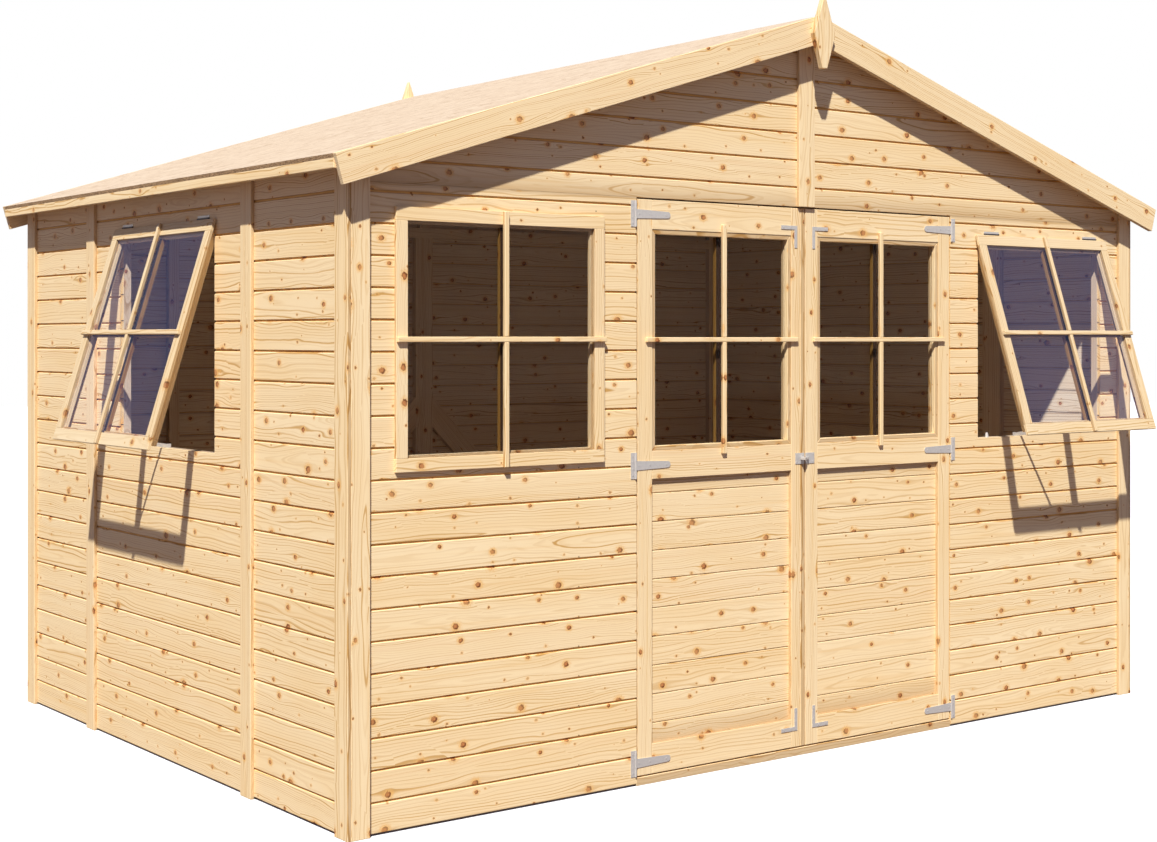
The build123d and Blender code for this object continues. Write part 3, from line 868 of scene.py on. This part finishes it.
def buildSashes():
    low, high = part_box("front_left_sash")
    models = buildSash(high.x - low.x, high.z - low.z)
    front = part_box("front_wall_left")[0].y
    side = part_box("left_wall")[0].x
    offset = (low.x + high.x) / 2
    tilt = Matrix.Rotation(-math.radians(sashLook["tilt"]), 4, "X")
    leftwards = Matrix.Rotation(-math.pi / 2, 4, "Z")
    places = {
        "frontLeft": ("front_left_sash", Matrix.Translation((offset, front, high.z))),
        "frontRight": ("front_right_sash", Matrix.Translation((-offset, front, high.z)) @ tilt),
        "left": ("left_sash", Matrix.Translation((side, 0, high.z)) @ leftwards @ tilt),
    }
    for name, (node, place) in places.items():
        for part, model in models.items():
            piece = copied(model)
            start = timberStride * round(dice.uniform(200, 400))
            for entry in piece.data.attributes["grain"].data:
                entry.vector[0] += start
            piece.matrix_world = place
            fix()
            if part == "Sash":
                # the open sashes get the painted shade tint, the shut one keeps the plain timber
                material = timberMaterial if name == "frontLeft" else sashShadedMaterial
                dress(piece, name + part, material, "shed", "spruce_timber", node)
            else:
                material = innerMaterial if part == "InnerBars" else shadeTapeMaterial
                dress(piece, name + part, material, "shed", "spruce_timber")
    for model in models.values():
        drop(model)


buildSashes()
print("sashes done")


# doors: stiles and rails, a beaded glazed light with crossed bars, boarded lower panels

doorLook = {"stile": 0.060, "bottomRail": 0.095, "middleRail": 0.090, "topRail": 0.094, "railSet": 0.0003,
            "bead": 0.015, "beadSet": 0.0025, "beadEasing": 0.0018, "backBeadEasing": 0.0012,
            "glassFront": 0.019, "glassBack": 0.023, "backBeadEnd": 0.034,
            "bar": (0.018, 0.0156), "proud": 0.0108, "barRun": 0.020, "barTop": 0.025, "barDrop": 0.0015,
            "left": {"barShift": -0.004, "barStart": 0.031, "barEnd": 0.038},
            "right": {"barShift": 0.0, "barStart": 0.038, "barEnd": 0.034},
            "strip": 0.016, "seam": 0.0012, "overlap": 0.0022, "easing": 0.0014,
            "panelSet": 0.013, "panelThick": 0.014, "vee": 0.0028}
leaves = ((-1, "left"), (1, "right"))


def buildDoor(side, word):
    node = word + "_door_"
    low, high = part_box(node + "frame")
    face, back = low.y, high.y
    sashLow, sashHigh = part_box("front_left_sash")
    panelLow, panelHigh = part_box(node + "panel")
    stile = doorLook["stile"]
    inLow, inHigh = low.x + stile, high.x - stile
    uprights = [(low.x, inLow), (inHigh, high.x)]
    if side < 0:  # the left leaf closes on a narrow lipping
        lip = high.x - doorLook["strip"]
        uprights = [(lip, high.x + doorLook["overlap"]), (inHigh, lip - doorLook["seam"]), (low.x, inLow)]
    easing = doorLook["easing"]
    pieces = [easedTimber((x0, face, low.z), (x1, back, high.z), easing) for x0, x1 in uprights]
    lightLow = low.z + doorLook["bottomRail"] + (panelHigh.z - panelLow.z) + doorLook["middleRail"]
    lightHigh = high.z - doorLook["topRail"]
    rails = ((low.z, low.z + doorLook["bottomRail"]), (panelHigh.z, lightLow), (lightHigh, high.z))
    pieces += [easedTimber((inLow, face + doorLook["railSet"], z0), (inHigh, back, z1), easing)
               for z0, z1 in rails]
    bead = doorLook["bead"]
    pieces += mitredRing(inLow, inHigh, lightLow, lightHigh, face + doorLook["beadSet"],
                         face + doorLook["glassFront"], bead, doorLook["beadEasing"])
    pieces += mitredRing(inLow, inHigh, lightLow, lightHigh, face + doorLook["glassBack"],
                         face + doorLook["backBeadEnd"], bead, doorLook["backBeadEasing"])
    own = doorLook[word]
    x0 = low.x + own["barStart"] if side < 0 else own["barStart"]
    x1 = -own["barEnd"] if side < 0 else high.x - own["barEnd"]
    middle = ((inLow + inHigh) / 2 + own["barShift"], (sashLow.z + sashHigh.z) / 2 - doorLook["barDrop"])
    pieces += crossedBars((x0, face - doorLook["proud"], lightLow - doorLook["barRun"]),
                          (x1, face, lightHigh + doorLook["barTop"]), middle, doorLook["bar"],
                          sashLook["barEasing"])
    bars, shadeTape = innerBars((inLow + bead, face + doorLook["glassBack"], lightLow + bead),
                           (inHigh - bead, back, lightHigh - bead), middle, doorLook["bar"])
    body = "door_" + word
    dress(joined(pieces), word + "DoorFrame", timberMaterial, body, "spruce_timber", node + "frame")
    dress(bars, word + "DoorInnerBars", innerMaterial, body, "spruce_timber")
    dress(shadeTape, word + "DoorGlazingTape", shadeTapeMaterial, body, "spruce_timber")

    pitch, first = boards["pitch"], boards["firstJoint"]
    y0, y1 = face + doorLook["panelSet"], face + doorLook["panelSet"] + doorLook["panelThick"]
    board = block((inLow, y0, first), (inHigh, y1, first + pitch - boards["halfSeam"]))
    openEdges(board, lambda middle, run: abs(run.x) > 0.9)
    bpy.ops.mesh.bevel(offset=doorLook["vee"], segments=1)
    closeEdit()
    stack(board, math.ceil((panelHigh.z - first) / pitch), (0, 0, pitch))
    saw(board, (0, 0, panelLow.z), (0, 0, -1))
    saw(board, (0, 0, panelHigh.z), (0, 0, 1))
    markGrain(board, (1, 0, 0))
    dress(board, word + "DoorBoards", timberMaterial, body, "spruce_boards", node + "panel")
    roughBack(board, (0, -1, 0))


for side, word in leaves:
    buildDoor(side, word)
print("doors done")


# metalwork: the CAD plates, countersunk screws, nails and the peg of the window stay

metalLook = {"screw": 0.0036, "screwProud": 0.0006, "easing": 0.0003, "recess": (0.0021, 0.0006),
             "plate": 0.002, "hingeIn": 0.019, "strapIn": 0.015, "strapScrews": (0.015, 0.060, 0.128),
             "plateScrews": (-0.030, -0.012, 0.012, 0.030), "plateMiddle": 0.011,
             "armIn": 0.033, "armScrews": (0.030, 0.063), "armMiddle": 0.0065,
             "latchIn": 0.003, "latchHeight": 0.977, "latchScrews": ((0.008, 0.0125), (0.036, 0.0125)),
             "nail": 0.0019, "nailProud": 0.0007, "nailSet": 0.0002, "nailLine": 0.977, "nailRise": 0.0035,
             "sashNails": ((-1.135, 1.808), (-0.909, 1.811)),
             "peg": (0.0075, 0.017), "pegPlace": (0.958, -1.192), "pegTaper": 0.62,
             "pegCrown": (0.0012, 0.0008), "pegEasing": 0.0006}


def roundHead(radius, proud):  # faces outwards along -Y, its seat at y 0
    deselect()
    bpy.ops.mesh.primitive_cylinder_add(vertices=18, radius=radius, depth=2 * proud,
                                        rotation=(math.pi / 2, 0, 0))
    fix()
    head = bpy.context.object
    openEdges(head, lambda middle, run: middle.y < -proud * 0.9 and abs(run.y) < 0.1)
    bpy.ops.mesh.bevel(offset=metalLook["easing"], segments=2)
    closeEdit()
    return head


def spread(name, model, places, body, material):  # a copy at each place, turned by chance
    pieces = []
    for place in places:
        piece = copied(model)
        piece.location = place
        piece.rotation_euler = (0, dice.uniform(0, math.pi), 0)
        fix()
        pieces.append(piece)
    dress(joined(pieces), name, material, body, "galvanised_steel")


def buildScrews():
    proud = metalLook["screwProud"]
    screw = roundHead(metalLook["screw"], proud)
    arm, wide = metalLook["recess"]
    cutOpening(screw, (-arm, -proud * 2, -wide / 2), (arm, -proud * 0.2, wide / 2))
    cutOpening(screw, (-wide / 2, -proud * 2, -arm), (wide / 2, -proud * 0.2, arm))
    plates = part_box("door_hinge_plates")
    face = plates[1].y - metalLook["plate"]
    hingeLine = plates[1].x - metalLook["hingeIn"]
    for side, word in leaves:
        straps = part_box(word + "_door_straps")
        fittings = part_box(word + "_door_fittings")
        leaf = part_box(word + "_door_frame")
        middle = (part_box(word + "_door_panel")[1].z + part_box(word + "_door_pane")[0].z) / 2
        heights = (straps[0].z + metalLook["strapIn"], middle, straps[1].z - metalLook["strapIn"])
        places = [(side * (hingeLine - back), face, z) for z in heights for back in metalLook["strapScrews"]]
        corner = min(abs(fittings[0].x), abs(fittings[1].x)) + metalLook["armIn"]
        for z, up in ((fittings[1].z, -1), (fittings[0].z, 1)):
            for out in metalLook["armScrews"]:
                places.append((side * (corner + out), face, z + up * metalLook["armMiddle"]))
                places.append((side * (corner + metalLook["armMiddle"]), face, z + up * out))
        latch = leaf[0].z + metalLook["latchHeight"]
        for x, z in metalLook["latchScrews"]:
            x = side * (metalLook["latchIn"] + x)
            places += [(x, face, latch + z), (x, face, latch - z)]
        spread(word + "DoorScrews", screw, places, "door_" + word, steelMaterial)
        places = [(side * (hingeLine + metalLook["plateMiddle"]), face, z + step)
                  for z in heights for step in metalLook["plateScrews"]]
        spread(word + "HingeScrews", screw, places, "shed", steelMaterial)
    drop(screw)


def buildNails():
    nail = roundHead(metalLook["nail"], metalLook["nailProud"])
    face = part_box("front_wall_left")[0].y
    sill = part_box("front_left_sash")[0].z
    pitch, first = boards["pitch"], boards["firstJoint"]
    count = math.floor((sill - first) / pitch)
    places = [(-metalLook["nailLine"], face + metalLook["nailSet"], first + pitch * n + metalLook["nailRise"])
              for n in range(count + 1)]
    places += [(x, face, z) for x, z in metalLook["sashNails"]]
    spread("wallNails", nail, places, "shed", nailMaterial)
    drop(nail)


def buildPeg():
    radius, height = metalLook["peg"]
    x, y = metalLook["pegPlace"]
    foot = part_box("window_stays")[0].z
    taper, (inset, crown) = metalLook["pegTaper"], metalLook["pegCrown"]
    deselect()
    bpy.ops.mesh.primitive_cylinder_add(vertices=24, radius=radius, depth=height,
                                        location=(x, y, foot + height / 2))
    fix()
    peg = bpy.context.object
    openFaces(peg, lambda middle, normal: normal.z > 0.5)
    bpy.ops.transform.resize(value=(taper, taper, 1), center_override=(x, y, foot + height))
    bpy.ops.mesh.inset(thickness=inset)
    bpy.ops.transform.translate(value=(0, 0, crown))
    closeEdit()
    ease(peg, metalLook["pegEasing"])
    dress(peg, "stayPeg", steelMaterial, "shed", "galvanised_steel")


buildScrews()
buildNails()
buildPeg()

for name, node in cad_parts.items():
    if any(word in name for word in ("hinge", "strap", "fittings", "stays")):
        coat(node, hingeShadowedMaterial if name == "window_hinges" else steelMaterial)
    elif "pane" in name and "panel" not in name:
        coat(node, glassMaterial)
    elif "roof_panel" in name:
        coat(node, roofMaterial)
print("metalwork done")


# studio

studio = {"floorSize": 60, "floorTone": (246, 246, 246), "bounce": (106, 95, 98),
          "sun": 5.4, "sunPlace": (-4, -4, 6), "sunTravel": (0.449, 0.463, -0.764), "sunWidth": 1.2,
          "sky": (190, 193, 244), "skyLevel": 0.27}


def buildStudio():
    deselect()
    bpy.ops.mesh.primitive_plane_add(size=studio["floorSize"], location=(0, 0, 0))
    floor = bpy.context.object
    floor.name = "studioFloor"
    material, wire, shader = finish("paleFloor", Roughness=0.9, Specular_IOR_Level=0.1)
    seen = wire.node("ShaderNodeLightPath", None, None, "Is Camera Ray")
    feed(shader, Base_Color=mix(wire, seen, paint(*studio["bounce"]), paint(*studio["floorTone"])))
    floor.data.materials.append(material)

    deselect()
    turn = Vector(studio["sunTravel"]).to_track_quat("-Z", "Y").to_euler()
    bpy.ops.object.light_add(type="SUN", location=studio["sunPlace"], rotation=turn)
    sun = bpy.context.object
    sun.data.energy = studio["sun"]
    sun.data.angle = math.radians(studio["sunWidth"])

    world = bpy.data.worlds.new("studio")
    scene.world = world
    world.use_nodes = True
    tree = world.node_tree
    wire = Wire(tree)
    path = wire.node("ShaderNodeLightPath").socket.node
    straight, glossy, through = (Wire(tree, path.outputs[ray]) for ray in
                                 ("Is Camera Ray", "Is Glossy Ray", "Is Transmission Ray"))
    plain = wire.sum("MINIMUM", straight + glossy + through, 1)
    sky = wire.node("ShaderNodeBackground", None,
                    {"Color": paint(*studio["sky"]), "Strength": studio["skyLevel"]})
    white = wire.node("ShaderNodeBackground", None, {"Color": paint(255, 255, 255), "Strength": 1.0})
    both = wire.node("ShaderNodeMixShader", None, {0: plain, 1: sky, 2: white})
    tree.links.new(both.socket, tree.nodes["World Output"].inputs["Surface"])


buildStudio()
scene.view_settings.view_transform = "Standard"
print("studio done")

bpy.context.view_layer.update()
